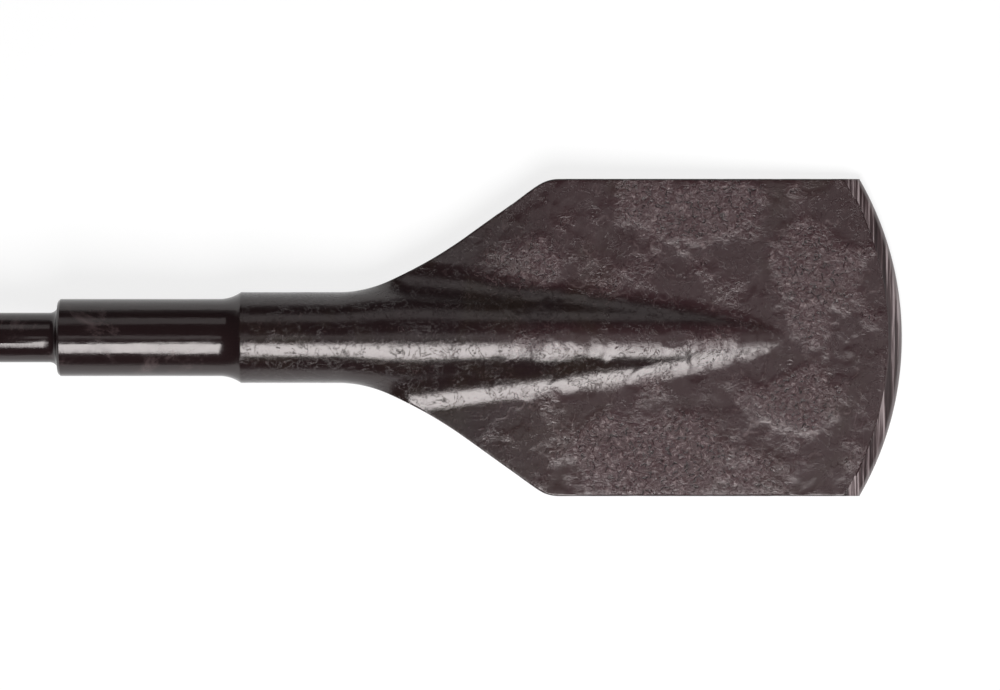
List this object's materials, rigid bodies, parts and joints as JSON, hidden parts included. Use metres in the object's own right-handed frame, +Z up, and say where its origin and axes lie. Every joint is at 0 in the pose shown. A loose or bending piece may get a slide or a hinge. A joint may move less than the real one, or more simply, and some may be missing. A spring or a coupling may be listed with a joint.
{
  "type": "spade chisel",
  "caption": "Forged spade chisel for a breaking hammer: slotted round shank, collared bar and a wide flat blade with a tapering rib and a rounded ground edge.",
  "frame": {"origin": "on the floor that the tool lies on, under the middle of its bounding box", "axes": "+X along the tool from the shank towards the tip of the blade, +Y across the blade, +Z up; the tool lies nose down at its own rest angle"},
  "size_m": [0.3994, 0.115, 0.0404],
  "materials": {
    "lacquered_steel": "forged steel under a dark brown-black lacquer, smooth on the shank and bar, scaly on the blade"
  },
  "bodies": {
    "root": {"spade_chisel": "lacquered_steel"}
  },
  "joints": []
}
